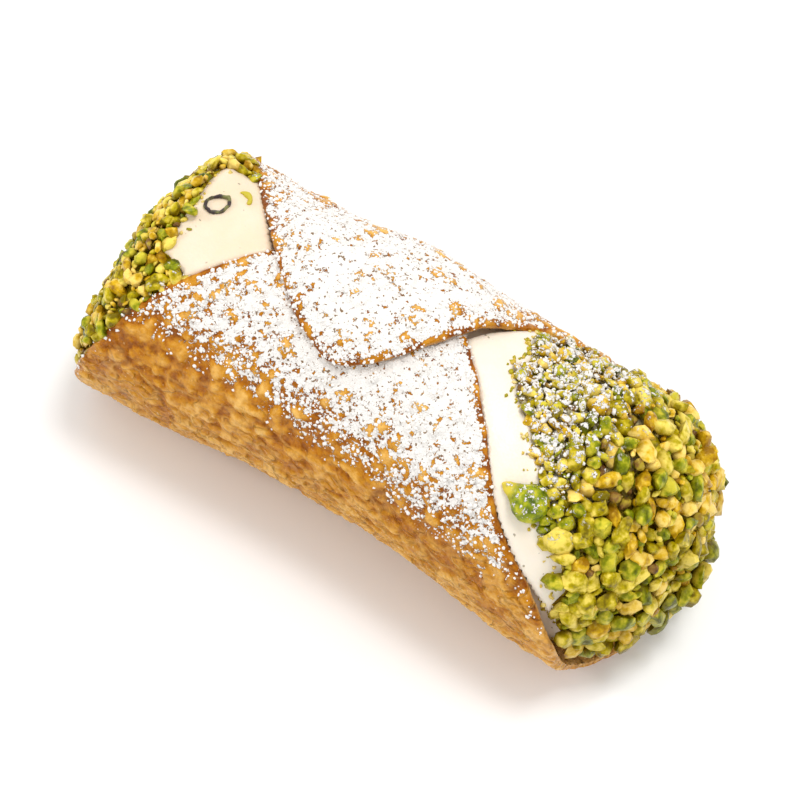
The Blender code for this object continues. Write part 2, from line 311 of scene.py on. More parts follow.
stretched = np.stack([skin[:, 0] * 0.42 + skin[:, 2] * 0.2, skin[:, 1], skin[:, 2]], axis=1)
welts = np.maximum(1.0 - 4.5 * np.abs(wander(stretched, 0.0026, 2, 17.0)), 0.0)
fine_welts = np.maximum(1.0 - 4.0 * np.abs(wander(skin, 0.0016, 2, 18.0)), 0.0)
welts = WELT_HEIGHT * np.maximum(welts, 0.7 * fine_welts)
welts *= smooth(0.45 - 1.4 * upward)
raised = (blister + welts + CRACKLE_HEIGHT * crackle) * (1.0 - hidden)
raised *= 0.35 + 0.65 * smooth(from_rim[outer] / 0.0012)
raised += SUGAR_DEPTH * smooth(sugar)
closeness = np.clip(1.0 - from_rim / RIM_ROUND, 0.0, 1.0)
rounding = RIM_ROUND * (1.0 - np.sqrt(1.0 - closeness**2))
lapping = outer_lift(shell_x, shell_turn) / (DOUGH + FLAP_GAP)
lifted = np.where(shell_x > outline(shell_turn)[0], FLAP_LIFT, 0.0)
lifted = lifted * smooth(1.0 - from_rim / 0.005) * smooth((shell_turn - math.radians(140.0)) / 0.4) * lapping
thinned = RIM_THIN * smooth(1.0 - from_rim / 0.004)
raised -= thinned[outer] * lapping[outer]
moved = lifted + np.concatenate([raised, (thinned * (1.0 - lapping))[inner]])
moved[outer] -= 0.8 * rounding[outer]
moved[inner] += 0.3 * rounding[inner]
radial = np.stack([np.zeros(len(points)), np.sin(shell_turn), -np.cos(shell_turn)], axis=1)
points = points + radial * moved[:, None]
wobble = RIM_WOBBLE * wander(points, 0.0030, 3, 13.0) * smooth(1.0 - from_rim / 0.003)
points[:, 0] += wobble
points[:, 2] = np.maximum(points[:, 2], low[2])
write_points(shell, points)
# Colour key from height: higher blisters and welts are paler and the hollows between them darker, which is
# painted light and painted shade; the darker rim is real browning.
height_shade_and_rim_browning = (blister + 1.2 * welts) / FULL_BLISTER - 0.4 * smooth(1.0 - from_rim[outer] / 0.0016)
underneath = np.zeros(len(points) - outer_count)
write_layer(shell, "blister", np.concatenate([height_shade_and_rim_browning, underneath]))
write_layer(shell, "sugar", np.concatenate([sugar, underneath]))
write_layer(shell, "edge", np.where(np.arange(len(points)) < outer_count, 0.0, 1.0))
write_layer(shell, "upward", -np.cos(shell_turn))

# Where loose grains of sugar lie on the dough, for the section on loose sugar.
GRAINS, GRAIN_JITTER = 5600, 0.00035

loose = np.clip(sugar * (1.0 - sugar) * 4.0, 0.0, 1.0)
loose += 0.45 * (from_rim[outer] < BARE_RIM) * smooth(upward + 0.4)
loose *= (hidden < 0.5) * np.clip(outline(turn)[1] / HALF_LENGTH, 0.05, 1.0)
grain_picks = np.random.default_rng(23)
chosen = grain_picks.choice(outer_count, GRAINS, p=loose / loose.sum())
tangent = np.stack([np.zeros(len(chosen)), np.cos(turn[chosen]), np.sin(turn[chosen])], axis=1)
jitter = grain_picks.uniform(-GRAIN_JITTER, GRAIN_JITTER, (len(chosen), 2))
grain_spots = [points[chosen] + jitter[:, :1] * [1.0, 0.0, 0.0] + jitter[:, 1:] * tangent]

bpy.ops.object.shade_smooth_by_angle(angle=math.radians(55.0))


def node(tree, kind, inputs=None, **settings):
    """Adds a shader node, sets its properties, and links or sets its inputs."""
    made = tree.nodes.new(kind)
    for name, value in settings.items():
        setattr(made, name, value)
    for name, value in (inputs or {}).items():
        if isinstance(value, bpy.types.NodeSocket):
            tree.links.new(value, made.inputs[name])
        else:
            made.inputs[name].default_value = value
    return made


def ramp(tree, value, stops):
    """A colour ramp over this value, with (position, colour) stops."""
    made = node(tree, "ShaderNodeValToRGB", {"Fac": value})
    keys = made.color_ramp.elements
    while len(keys) < len(stops):
        keys.new(0.5)
    for key, (position, colour) in zip(keys, stops):
        key.position = position
        key.color = (*colour, 1.0)
    return made.outputs["Color"]


def mixed(tree, factor, first, second, way="MIX"):
    """The two colours mixed by the factor."""
    made = node(tree, "ShaderNodeMix", data_type="RGBA", blend_type=way)
    for socket, value in zip((made.inputs[0], made.inputs[6], made.inputs[7]), (factor, first, second)):
        if isinstance(value, bpy.types.NodeSocket):
            tree.links.new(value, socket)
        else:
            socket.default_value = value if isinstance(value, float) else (*value, 1.0)
    return made.outputs[2]


def level(tree, value, low_end, high_end, to_low=0.0, to_high=1.0):
    """The value mapped smoothly from one range to another."""
    made = node(tree, "ShaderNodeMapRange", {0: value, 1: low_end, 2: high_end, 3: to_low, 4: to_high})
    made.interpolation_type = "SMOOTHSTEP"
    return made.outputs[0]


def sums(tree, how, first, second):
    """One arithmetic step on two values."""
    return node(tree, "ShaderNodeMath", {0: first, 1: second}, operation=how).outputs[0]


def grain(tree, place_socket, size, detail=2.0, rough=0.5):
    """Noise with features of this size in metres, as a value about 0.5."""
    inputs = {"Vector": place_socket, "Scale": 1.0 / size, "Detail": detail, "Roughness": rough}
    return node(tree, "ShaderNodeTexNoise", inputs).outputs["Fac"]


def object_place(tree):
    """The place on the piece that a pattern follows."""
    return node(tree, "ShaderNodeTexCoord").outputs["Object"]


def layer_value(tree, name):
    """The value that the mesh carries under this name."""
    return node(tree, "ShaderNodeAttribute", attribute_name=name).outputs["Fac"]


def new_look(name):
    """A new material, with its tree and its Principled shader."""
    look = bpy.data.materials.new(name)
    look.use_nodes = True
    return look, look.node_tree, look.node_tree.nodes["Principled BSDF"]


def roughen(tree, shader, height, depth, strength=1.0):
    """Fine relief of this depth."""
    bump = node(tree, "ShaderNodeBump", {"Height": height, "Distance": depth, "Strength": strength})
    tree.links.new(bump.outputs["Normal"], shader.inputs["Normal"])


def sugar_dust_group():
    """Icing sugar: the amount that lies on a spot becomes a crumbly mask with a white, specked colour."""
    tree = bpy.data.node_groups.new("icing_sugar_dust", "ShaderNodeTree")
    for name in ("Amount", "Fringe", "Fineness"):
        tree.interface.new_socket(name, in_out="INPUT", socket_type="NodeSocketFloat")
    for name, kind in (("Mask", "Float"), ("Colour", "Color"), ("Height", "Float")):
        tree.interface.new_socket(name, in_out="OUTPUT", socket_type="NodeSocket" + kind)
    given = node(tree, "NodeGroupInput")
    where = object_place(tree)
    scaled = node(tree, "ShaderNodeVectorMath", {0: where}, operation="SCALE")
    tree.links.new(given.outputs["Fineness"], scaled.inputs["Scale"])
    crumbs = grain(tree, scaled.outputs[0], 0.00105, 4.0, 0.66)
    fine = grain(tree, where, 0.00022, 2.0)
    ragged = sums(tree, "MULTIPLY", sums(tree, "SUBTRACT", crumbs, 0.5), given.outputs["Fringe"])
    mask = level(tree, sums(tree, "ADD", given.outputs["Amount"], ragged), 0.42, 0.54)
    mask = sums(tree, "MULTIPLY", mask, level(tree, given.outputs["Amount"], 0.01, 0.12))
    specks = level(tree, grain(tree, where, 0.00055, 1.0), 0.655, 0.70)
    white = mixed(tree, specks, (0.90, 0.87, 0.83), (0.26, 0.17, 0.10))
    height = sums(tree, "MULTIPLY", mask, sums(tree, "ADD", fine, crumbs))
    given_back = node(tree, "NodeGroupOutput")
    for name, value in (("Mask", mask), ("Colour", white), ("Height", height)):
        tree.links.new(value, given_back.inputs[name])
    return tree


sugar_dust = sugar_dust_group()


def dust_over(tree, shader, colour, fringe, fineness, bare_roughness, sugar_roughness):
    """Lays the piece's own layer of sugar over this colour. Gives back the sugar's mask and height."""
    dust = node(tree, "ShaderNodeGroup", node_tree=sugar_dust)
    tree.links.new(layer_value(tree, "sugar"), dust.inputs["Amount"])
    dust.inputs["Fringe"].default_value = fringe
    dust.inputs["Fineness"].default_value = fineness
    mask = dust.outputs["Mask"]
    tree.links.new(mixed(tree, mask, colour, dust.outputs["Colour"]), shader.inputs["Base Color"])
    tree.links.new(level(tree, mask, 0.0, 1.0, bare_roughness, sugar_roughness), shader.inputs["Roughness"])
    return mask, dust.outputs["Height"]


dough_look, tree, shader = new_look("fried_dough_look")
where = object_place(tree)
layer = {name: layer_value(tree, name) for name in ("blister", "edge", "upward")}
patches = sums(tree, "MULTIPLY", grain(tree, where, 0.0060, 3.0, 0.6), 0.32)
browning_and_height_shade = sums(tree, "ADD", patches, sums(tree, "MULTIPLY", grain(tree, where, 0.0013, 4.0, 0.65), 0.68))
# The blister layer adds painted light on the high spots and painted shade in the hollows to the real
# browning.
browning_and_height_shade = sums(tree, "ADD", browning_and_height_shade, sums(tree, "MULTIPLY", layer["blister"], 0.26))
fried = ramp(tree, browning_and_height_shade, [(0.38, (0.22, 0.048, 0.0005)), (0.54, (0.44, 0.140, 0.001)),
                              (0.71, (0.62, 0.26, 0.012)), (0.95, (0.90, 0.53, 0.140))])
# Painted light: the underside is mixed towards a paler orange, standing in for light bounced up from the
# white table.
underside = level(tree, layer["upward"], 0.30, -0.50)
fried = mixed(tree, sums(tree, "MULTIPLY", underside, 0.22), fried, (0.68, 0.32, 0.030))
fried = mixed(tree, sums(tree, "MULTIPLY", layer["edge"], 0.60), fried, (0.72, 0.42, 0.14))
pores = grain(tree, where, 0.0006, 3.0, 0.6)
bubbles = node(tree, "ShaderNodeTexVoronoi", {"Vector": where, "Scale": 800.0}, feature="SMOOTH_F1")
fried = mixed(tree, level(tree, pores, 0.60, 0.78, 0.0, 0.45), fried, (0.33, 0.12, 0.02))

# Low down the skin shows thin ridges and creases drawn out along the tube, in the relief and in colour: the
# ridges' pale colour is painted highlight, the creases' dark colour is painted shade, and the small glints
# are painted highlights.
bare_skin = level(tree, layer["upward"], 0.70, -0.10)
drawn_out = node(tree, "ShaderNodeVectorMath", {0: where, 1: (0.70, 1.0, 1.0)}, operation="MULTIPLY")
lines = []
for apart, width in ((0.0044, 0.070), (0.0036, 0.050)):
    off_line = sums(tree, "SUBTRACT", grain(tree, drawn_out.outputs[0], apart, 2.0), 0.5)
    line = level(tree, sums(tree, "ABSOLUTE", off_line, 0.0), 0.0, width, 1.0, 0.0)
    lines.append(sums(tree, "MULTIPLY", line, bare_skin))
ridge_and_highlight, crease_and_shade = lines
painted_glints = sums(tree, "MULTIPLY", level(tree, pores, 0.36, 0.28), bare_skin)
# Painted shade darkens the creases, painted highlight lightens the ridges, and painted glints of highlight
# are mixed in.
fried = mixed(tree, sums(tree, "MULTIPLY", crease_and_shade, 0.26), fried, (0.36, 0.090, 0.001))
fried = mixed(tree, sums(tree, "MULTIPLY", ridge_and_highlight, 0.34), fried, (0.98, 0.60, 0.19))
fried = mixed(tree, sums(tree, "MULTIPLY", painted_glints, 0.60), fried, (1.0, 0.74, 0.38))
sugared, sugar_height = dust_over(tree, shader, fried, 3.6, 1.0, 0.27, 0.95)
bubbled = sums(tree, "MULTIPLY", bubbles.outputs["Distance"], 1.5)
relief = sums(tree, "SUBTRACT", sums(tree, "MULTIPLY", pores, 0.8), bubbled)
relief = sums(tree, "ADD", relief, sums(tree, "MULTIPLY", sums(tree, "SUBTRACT", ridge_and_highlight, crease_and_shade), 0.8))
relief = sums(tree, "MULTIPLY", relief, level(tree, sugared, 0.0, 1.0, 1.0, 0.2))
relief = sums(tree, "ADD", relief, sums(tree, "MULTIPLY", sugar_height, 0.5))
roughen(tree, shader, relief, 0.00040)
shader.inputs["Specular IOR Level"].default_value = 0.36
shader.inputs["Specular Tint"].default_value = (1.0, 0.76, 0.42, 1.0)
shell.data.materials.append(dough_look)
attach(shell, "root")
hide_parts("shell")


# ---- Ricotta cream -------------------------------------------------------------------------------------
# Sweet ivory ricotta cream is piped through the tube until it domes at both ends. It is bare beside the
# rims and sinks under the nuts that are pressed on it.

GAP, FLUSH = 0.0004, 0.0003
BARE_RADIUS, NUT_RADIUS, NUT_BED = 0.0193, 0.0195, 0.0025
DIP_LENGTH, SWELL_LENGTH, AT_RIM = 0.0022, 0.0050, 0.0008
ENDS = {  # where the dome starts, its depth, how far it leans and which way round
    -1: (0.0385, 0.0065, 0.22, 0.0),
    +1: (0.0332, 0.0155, 0.28, math.radians(22.0)),
}
DOME_ROUNDNESS = 2.3
STRIP_RIGHT, STRIP_LEFT, STRIP_LEFT_SLANT = 0.0072, 0.0350, 0.0026
RIPPLE, FINE_RIPPLE = 0.00010, 0.00005
CREAM_RINGS, CREAM_SEGMENTS = 240, 144


def filling_x(side, share, turn, sunk=0.0):
    """Place along the tube, and share of the radius, on the filling from its middle (0) to its pole (1)."""
    start, depth, lean, lean_turn = ENDS[side]
    straight = start / (start + 0.25 * math.pi * (depth + NUT_RADIUS))
    angle = 0.5 * math.pi * np.clip((share - straight) / (1.0 - straight), 0.0, 1.0)
    domed = share > straight
    power = 2.0 / DOME_ROUNDNESS
    along = np.where(domed, start + (depth - sunk) * np.sin(angle) ** power, start * share / straight)
    narrowing = np.where(domed, np.maximum(np.cos(angle), 0.0) ** power, 1.0)
    narrowing = np.where(share > 0.9999, 0.0, narrowing)
    leaning = lean * smooth(along / start) * NUT_RADIUS * narrowing * np.cos(turn - lean_turn)
    return side * (along + leaning), narrowing


def nut_border(side, turn):
    """How far along the tube the nuts begin: past a bare strip over the crest, and at the rim elsewhere."""
    round_way = np.degrees(turn) % 360.0
    edge = side * rim(turn, side) + 0.0005 * np.sin(9.0 * turn + 1.0) + 0.0004 * np.sin(23.0 * turn)
    if side > 0:
        strip = STRIP_RIGHT * smooth((round_way - 134.0) / 44.0) * smooth((277.0 - round_way) / 42.0)
        return np.minimum(edge + 0.0002 + strip, 0.0460)
    crest = smooth((round_way - 146.0) / 8.0) * smooth((214.0 - round_way) / 7.0)
    first = STRIP_LEFT + STRIP_LEFT_SLANT * smooth((190.0 - round_way) / 33.0)
    return np.minimum(edge - 0.0004 + np.maximum(first - edge, 0.0) * crest, 0.0440)


def swell(side, x, turn, radius):
    """As wide as the dough's inside, flush with its outside just past the rim, then easing to this radius."""
    past = side * (x - rim(turn, side))
    inside, flush = tube_radius(x, turn) - DOUGH - GAP, tube_radius(x, turn) - FLUSH
    wall = inside + (flush - inside) * smooth((past + AT_RIM) / AT_RIM)
    return wall + (radius - flush) * smooth((past - AT_RIM) / SWELL_LENGTH)


def nut_surface(side, share, turn, lump=0.0):
    """Points of the nut coat's outside, raised by this lump."""
    x, narrowing = filling_x(side, share, turn, -lump)
    return axis_point + place(x, turn, (swell(side, x, turn, NUT_RADIUS) + lump) * narrowing, DOUGH + GAP)


def cream_surface(side, share, turn):
    """Points of the cream, which is bare beside the rim and dips under the nuts."""
    x, narrowing = filling_x(side, share, turn, NUT_BED)
    dip = smooth((side * x - nut_border(side, turn)) / DIP_LENGTH)
    bare_wall, under = swell(side, x, turn, BARE_RADIUS), swell(side, x, turn, NUT_RADIUS)
    wall = bare_wall + (under - NUT_BED - bare_wall) * dip
    return axis_point + place(x, turn, wall * narrowing, DOUGH + GAP + NUT_BED * dip)


bpy.ops.object.select_all(action="DESELECT")
bpy.ops.mesh.primitive_uv_sphere_add(segments=CREAM_SEGMENTS, ring_count=CREAM_RINGS, radius=1.0)
cream = bpy.context.object
cream.name = "ricotta_cream"
ball = read_points(cream)
turn = np.arctan2(ball[:, 1], ball[:, 0])
signed_share = 1.0 - 2.0 * np.arccos(np.clip(ball[:, 2], -1.0, 1.0)) / math.pi
points = np.empty_like(ball)
for side in (-1, 1):
    mine = (signed_share >= 0) == (side > 0)
    points[mine] = cream_surface(side, np.abs(signed_share[mine]), turn[mine])
out_of_tube = smooth((np.abs(points[:, 0]) - 0.012) / 0.006)
ripple = RIPPLE * wander(points, 0.0045, 2, 21.0) + FINE_RIPPLE * wander(points, 0.0016, 2, 22.0)
radial = np.stack([np.zeros(len(points)), np.sin(turn), -np.cos(turn)], axis=1)
write_points(cream, points + radial * (ripple * out_of_tube)[:, None])
close_up()
bpy.ops.object.shade_smooth()

cream_look, tree, shader = new_look("ricotta_cream_look")
where = object_place(tree)
along_tube = node(tree, "ShaderNodeSeparateXYZ", {0: where}).outputs["X"]
# Painted light: the cream is paler towards the right-hand end and darker and yellower towards the left, as if
# lit more from the right; the noise adds its own uneven tone.
painted_light_right_and_mottling = sums(tree, "ADD", level(tree, along_tube, -0.03, 0.03, -0.3, 0.6), grain(tree, where, 0.006, 2.0))
ivory = mixed(tree, painted_light_right_and_mottling, (0.85, 0.68, 0.48), (0.90, 0.81, 0.68))
specks = level(tree, grain(tree, where, 0.0010, 1.0), 0.735, 0.775, 0.0, 0.8)
tree.links.new(mixed(tree, specks, ivory, (0.30, 0.25, 0.16)), shader.inputs["Base Color"])
shader.inputs["Roughness"].default_value = 0.38
shader.inputs["Subsurface Weight"].default_value = 0.12
shader.inputs["Subsurface Radius"].default_value = (1.0, 0.7, 0.4)
shader.inputs["Subsurface Scale"].default_value = 0.0012
curds = sums(tree, "ADD", grain(tree, where, 0.0022, 3.0), grain(tree, where, 0.0005, 1.0))
roughen(tree, shader, curds, 0.00012, 0.35)
cream.data.materials.append(cream_look)
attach(cream, "root")
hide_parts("cream")


# ---- Nut meal ------------------------------------------------------------------------------------------
# The finest of the chopped pistachios: a thin olive layer of meal that sticks to the cream and shows
# between the larger pieces.

MEAL_TURNS, MEAL_RINGS = 168, 72
MEAL_BELOW, MEAL_THICKNESS = 0.0012, 0.0007
MEAL_LUMPS, MEAL_GRIT = 0.00045, 0.0002

meals = {}
for side, name in ((-1, "nut_meal_left"), (1, "nut_meal_right")):
    bpy.ops.object.select_all(action="DESELECT")
    bpy.ops.mesh.primitive_grid_add(x_subdivisions=MEAL_TURNS, y_subdivisions=MEAL_RINGS, size=2.0)
    meal = bpy.context.object
    meal.name = name
    square = read_points(meal)
    turn = math.pi * square[:, 0]
    way = 0.5 * (square[:, 1] + 1.0)
    steps = np.linspace(0.0, 1.0, 600)[:, None]
    reached = side * filling_x(side, steps, turn)[0] >= nut_border(side, turn)
    border = steps[np.argmax(reached, axis=0), 0]
    share = border + (1.0 - border) * way
    write_points(meal, nut_surface(side, share, turn, -MEAL_BELOW * smooth(3.0 * way + 0.5)))
    close_up(2e-5)
    if sum(face.normal.x * side for face in meal.data.polygons) < 0:
        turn_over()
    points = read_points(meal)
    dusted = smooth((points[:, 2] - 0.024) / 0.014) * smooth((0.040 - side * points[:, 0]) / 0.012)
    write_layer(meal, "dusted", dusted * (side > 0))
    normals = np.array([vertex.normal for vertex in meal.data.vertices])
    relief = MEAL_LUMPS * wander(points, 0.0014, 3, 31.0) + MEAL_GRIT * wander(points, 0.0006, 2, 32.0)
    write_points(meal, points + normals * relief[:, None])
    thicken(meal, MEAL_THICKNESS)
    bpy.ops.object.shade_smooth()
    meals[side] = meal

meal_and_gap_shade_look, tree, shader = new_look("nut_meal_and_gap_shade_look")
where = object_place(tree)
# Partly painted shade: the meal's darkest browns stand in for shade in the gaps between the pieces; the olive
# and tan are the meal's own colour.
meal_and_gap_shade_colour = ramp(tree, grain(tree, where, 0.0011, 3.0, 0.6), [
    (0.32, (0.06, 0.026, 0.0003)), (0.46, (0.19, 0.105, 0.001)), (0.57, (0.38, 0.28, 0.002)),
    (0.70, (0.66, 0.50, 0.04))])
clots = level(tree, grain(tree, where, 0.0013, 3.0), 0.36, 0.60)
dusted = sums(tree, "MULTIPLY", layer_value(tree, "dusted"), clots)
meal_and_gap_shade_colour = mixed(tree, dusted, meal_and_gap_shade_colour, (0.80, 0.72, 0.46))
tree.links.new(meal_and_gap_shade_colour, shader.inputs["Base Color"])
shader.inputs["Roughness"].default_value = 0.7
shader.inputs["Specular IOR Level"].default_value = 0.10
roughen(tree, shader, grain(tree, where, 0.0006, 3.0), 0.0003)
for side, node_name in ((-1, "nut_coat_left"), (1, "nut_coat_right")):
    meals[side].data.materials.append(meal_and_gap_shade_look)
    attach(meals[side], "root")
    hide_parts(node_name)


# ---- Chopped pistachios --------------------------------------------------------------------------------
# Roughly chopped pistachio kernels pressed into the cream: green flesh, yellower hearts and shreds of purple
# skin. They are finer and dusted with sugar on top near the flap, and coarser towards the tip and the plate.

PROUD = [  # pieces that stand out: end, place along the tube (mm), turn (deg), half size (mm), kind
    (1, 35.2, -133.0, 2.2, 0.30), (1, 39.3, -154.0, 1.9, 0.80), (1, 38.8, -124.0, 1.9, 0.85),
    (1, 37.0, -112.0, 2.2, 0.10), (1, 45.2, -148.0, 1.7, 0.50), (1, 33.6, -152.0, 1.5, 0.75),
    (1, 36.5, -166.0, 1.6, 0.80), (1, 40.0, 172.0, 1.6, 0.75), (1, 42.2, 116.0, 2.0, 0.80),
    (1, 33.5, 146.0, 2.2, 0.45), (1, 40.5, 140.0, 1.9, 0.50), (1, 41.5, -104.0, 2.0, 0.35),
    (-1, 31.2, -146.0, 1.5, 0.45), (-1, 34.2, -134.0, 1.3, 0.85),
]
COARSE, FINER_ABOVE, FINER_ON_TOP = 0.00206, 0.00046, 0.00062
COARSE_LEFT, FINER_ABOVE_LEFT = 0.00125, 0.00020
SKIN_SIZE = 0.62
CHUNK_CUTS, CHUNK_ROUGHNESS, FLATTENED = 9, 0.10, 0.22
CHUNK_TRIES = 40000
CROWDING = 0.57
CHUNK_INSET = 0.0007
KINDS = {  # upper bound of the draw, then dark, middle and light flesh
    "pistachio_green": (0.26, (0.055, 0.075, 0.0003), (0.25, 0.28, 0.001), (0.68, 0.58, 0.04)),
    "pistachio_yellow_green": (0.66, (0.17, 0.125, 0.0003), (0.51, 0.40, 0.001), (0.94, 0.74, 0.13)),
    "pistachio_tan": (0.93, (0.33, 0.155, 0.001), (0.72, 0.44, 0.008), (1.00, 0.73, 0.18)),
    "pistachio_skin": (1.00, (0.09, 0.032, 0.012), (0.24, 0.12, 0.03), (0.45, 0.33, 0.03)),
}


def share_at(side, turn, distance):
    """Share of the way to the pole at which the filling is this far along the tube."""
    steps = np.linspace(0.0, 1.0, 500)[:, None]
    return steps[np.argmax(side * filling_x(side, steps, turn)[0] >= distance, axis=0), 0]


def chunk_places(side):
    """Centres, normals, sizes, nearness to the top and kinds of one end's pieces, packed from the largest."""
    picks = np.random.default_rng(40 + side)
    count = CHUNK_TRIES if side > 0 else CHUNK_TRIES // 2
    known = [piece for piece in PROUD if piece[0] == side]
    known_turns = np.radians([piece[2] for piece in known])
    turn = np.concatenate([known_turns, picks.uniform(-math.pi, math.pi, count)])
    border = share_at(side, turn, nut_border(side, turn) + (CHUNK_INSET if side > 0 else 0.0))
    inward = np.concatenate([np.zeros(len(known)), picks.random(count)])
    share = 1.0 - (1.0 - border) * inward**0.5
    share[:len(known)] = share_at(side, turn[:len(known)], np.array([0.001 * piece[1] for piece in known]))
    spot = nut_surface(side, share, turn)
    nudge = 1e-3
    across = nut_surface(side, share, turn + nudge) - nut_surface(side, share, turn - nudge)
    out = nut_surface(side, np.minimum(share + nudge, 1.0), turn) - nut_surface(side, share - nudge, turn)
    normal = np.cross(across, out) * side
    normal /= np.linalg.norm(normal, axis=1)[:, None] + 1e-12
    upper = smooth((spot[:, 2] - 0.020) / 0.018) * smooth((0.038 - side * spot[:, 0]) / 0.014)
    medium = smooth((spot[:, 2] - 0.008) / 0.012)
    if side > 0:
        coarse = COARSE - FINER_ABOVE * medium - FINER_ON_TOP * upper
    else:
        coarse = COARSE_LEFT - FINER_ABOVE_LEFT * medium
    size = coarse * (0.40 + 0.85 * picks.random(len(turn)) ** 2.0)
    size[:len(known)] = [0.001 * piece[3] for piece in known]
    rank = size * picks.uniform(0.75, 1.25, len(turn))
    rank[:len(known)] = 1.0
    centres, radii, chosen = np.empty((0, 3)), np.empty(0), []
    for k in np.argsort(-rank):
        if chosen and np.min(np.linalg.norm(centres - spot[k], axis=1) - CROWDING * (radii + size[k])) < 0:
            continue
        chosen.append(k)
        centres = np.vstack([centres, spot[k]])
        radii = np.append(radii, size[k])
    chosen = np.array(chosen)
    draw = picks.random(len(turn)) - (0.14 * smooth((0.026 - spot[:, 2]) / 0.020) if side > 0 else -0.08)
    draw[:len(known)] = [piece[4] for piece in known]
    sink = picks.uniform(-0.50, 0.50, len(turn)) * size
    sink[:len(known)] = 0.0
    low_rim = smooth((0.014 - spot[:, 2]) / 0.008) * smooth(1.5 - (share - border) / 0.04)
    sink += 0.9 * size * low_rim if side > 0 else 0.0
    inset = spot - normal * sink[:, None]
    size = np.where(draw > KINDS["pistachio_tan"][0], SKIN_SIZE * size, size)
    return [values[chosen] for values in (inset, normal, size, upper, draw)]


def strew(name, roundness, count):
    """A piece of this many unit balls, all at the origin. Gives it back with one ball's points."""
    bpy.ops.object.select_all(action="DESELECT")
    bpy.ops.mesh.primitive_ico_sphere_add(subdivisions=roundness, radius=1.0)
    piece = bpy.context.object
    piece.name = name
    ball = read_points(piece)
    copies = piece.modifiers.new("copies", "ARRAY")
    copies.count = count
    copies.use_relative_offset = False
    bpy.ops.object.modifier_apply(modifier="copies")
    return piece, ball


def chop(ball, count, picks):
    """Unit kernels cut by chance planes, with softened edges, one for each copy of the ball."""
    planes = picks.normal(size=(count, CHUNK_CUTS, 3))
    planes /= np.linalg.norm(planes, axis=2)[:, :, None]
    depths = picks.uniform(0.42, 1.0, (count, CHUNK_CUTS))
    facing = np.maximum(np.einsum("njk,vk->njv", planes, ball), 0.0) / depths[:, :, None]
    reach = (1.0 + (facing**6).sum(axis=1)) ** (-1.0 / 6.0)
    reach *= 1.0 + CHUNK_ROUGHNESS * picks.normal(size=reach.shape)
    return ball[None] * reach[:, :, None] * picks.uniform([1.0, 0.9, 0.7], [1.7, 1.2, 1.0], (count, 1, 3))


def spin(count, picks):
    """One chance rotation matrix for each piece."""
    turns = picks.normal(size=(count, 4))
    w, x, y, z = (turns / np.linalg.norm(turns, axis=1)[:, None]).T
    rows = [[1 - 2 * (y * y + z * z), 2 * (x * y - z * w), 2 * (x * z + y * w)],
            [2 * (x * y + z * w), 1 - 2 * (x * x + z * z), 2 * (y * z - x * w)],
            [2 * (x * z - y * w), 2 * (y * z + x * w), 1 - 2 * (x * x + y * y)]]
    return np.array(rows).transpose(2, 0, 1)


picks = np.random.default_rng(7)
placed = [np.concatenate(both) for both in zip(chunk_places(-1), chunk_places(1))]
draw = placed.pop()
lowest = -1.0
for kind, (highest, dark, flesh, pale) in KINDS.items():
    mine = (draw >= lowest) & (draw < highest)
    lowest = highest
    centres, normals, sizes, upper = (values[mine] for values in placed)
    pieces, ball = strew(kind, 2, len(sizes))
    shapes = np.einsum("nij,nvj->nvi", spin(len(sizes), picks), chop(ball, len(sizes), picks))
    along = np.einsum("nvi,ni->nv", shapes, normals)
    shapes -= FLATTENED * along[:, :, None] * normals[:, None, :]
    points = centres[:, None] + sizes[:, None, None] * shapes
    points[:, :, 2] = np.maximum(points[:, :, 2], low[2])
    write_points(pieces, points.reshape(-1, 3))
    write_layer(pieces, "tint", np.repeat(picks.random(len(sizes)), len(ball)))
    lit = np.einsum("nvi,i->nv", points - centres[:, None], [0.0, 0.25, 1.0]) / sizes[:, None]
    high_up = smooth((placed[0][mine][:, 2:3] - 0.012) / 0.02)
    dust = (0.50 * upper[:, None]) * smooth(lit / 1.2 + 0.45) - 0.10 * (1.0 - high_up)
    write_layer(pieces, "sugar", dust.reshape(-1))
    # Painted shade: each piece is darkened on its side facing into the cream, and more so nearer the table.
    deep = smooth(0.55 - 0.9 * np.einsum("nvi,ni->nv", shapes, normals)) + 0.30 * (1.0 - high_up)
    write_layer(pieces, "deep", deep.reshape(-1))
    sugared = np.flatnonzero(dust.reshape(-1) > 0.20)
    landed = grain_picks.choice(sugared, min(len(sugared) // 8, 300), replace=False)
    grain_spots.append(points.reshape(-1, 3)[landed])
    bpy.ops.object.shade_smooth_by_angle(angle=math.radians(50.0))

    look, tree, shader = new_look(kind + "_look")
    where = object_place(tree)
    mottling = sums(tree, "MULTIPLY", grain(tree, where, 0.0013, 3.0), 1.25)
    blend = sums(tree, "ADD", sums(tree, "MULTIPLY", layer_value(tree, "tint"), 0.35), mottling)
    colour = ramp(tree, blend, [(0.54, dark), (0.76, flesh), (0.98, pale)])
    # Painted shade, mixed in by the deep layer.
    shaded = sums(tree, "MULTIPLY", layer_value(tree, "deep"), 0.66)
    colour = mixed(tree, shaded, colour, (0.13, 0.060, 0.0005))
    sugar_height = dust_over(tree, shader, colour, 3.5, 1.1, 0.28, 0.9)[1]
    roughen(tree, shader, sums(tree, "ADD", grain(tree, where, 0.0009, 3.0), sugar_height), 0.00035, 0.8)
    shader.inputs["Specular IOR Level"].default_value = 0.34
    shader.inputs["Specular Tint"].default_value = (1.0, 0.86, 0.40, 1.0)
    pieces.data.materials.append(look)
    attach(pieces, "root")
    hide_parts("nut_coat_left", "nut_coat_right")


# ---- Nut crumbs ----------------------------------------------------------------------------------------
# Crumbs from the chopping board, under a millimetre across: they fill the gaps between the pieces, and a few
# have strayed over the border on to the bare cream.

